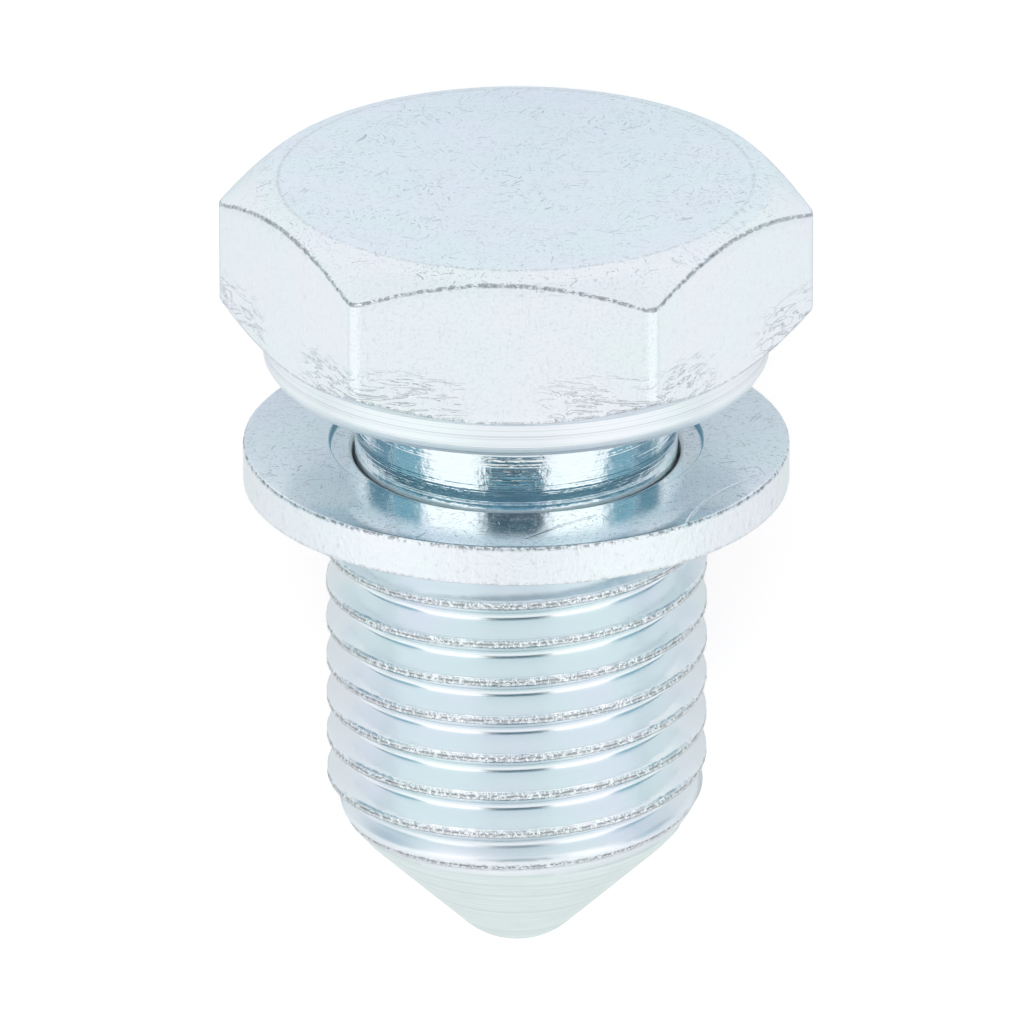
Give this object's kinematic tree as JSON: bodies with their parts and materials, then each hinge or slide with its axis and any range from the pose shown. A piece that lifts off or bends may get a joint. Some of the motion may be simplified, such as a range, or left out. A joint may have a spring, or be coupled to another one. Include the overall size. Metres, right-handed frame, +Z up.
{
  "type": "oil drain plug",
  "caption": "Hex-head oil drain plug with a turned seal collar, smooth neck, captive washer, fine right-hand thread and pointed tip.",
  "frame": {"origin": "middle of the footprint, on the floor that the part lies on", "axes": "+Z up; +X is the way that the plug's axis runs along the floor, towards the head, which is raised 14.12 degrees; a flat of the hex faces up"},
  "size_m": [0.031, 0.0214, 0.0215],
  "materials": {
    "zinc_plug": "zinc plated, pale blue passivated, satin, with fine handling scratches",
    "zinc_washer": "zinc plated, pale blue passivated, stamped, with a rough sheared rim"
  },
  "bodies": {
    "plug": {"plug": "zinc_plug"},
    "captive_washer": {"captive_washer": "zinc_washer"}
  },
  "joints": [
    {"name": "washer_slide", "type": "slide", "parent": "plug", "child": "captive_washer", "axis": [0.9698, 0, 0.2439], "range_m": [0, 0.0031]}
  ]
}
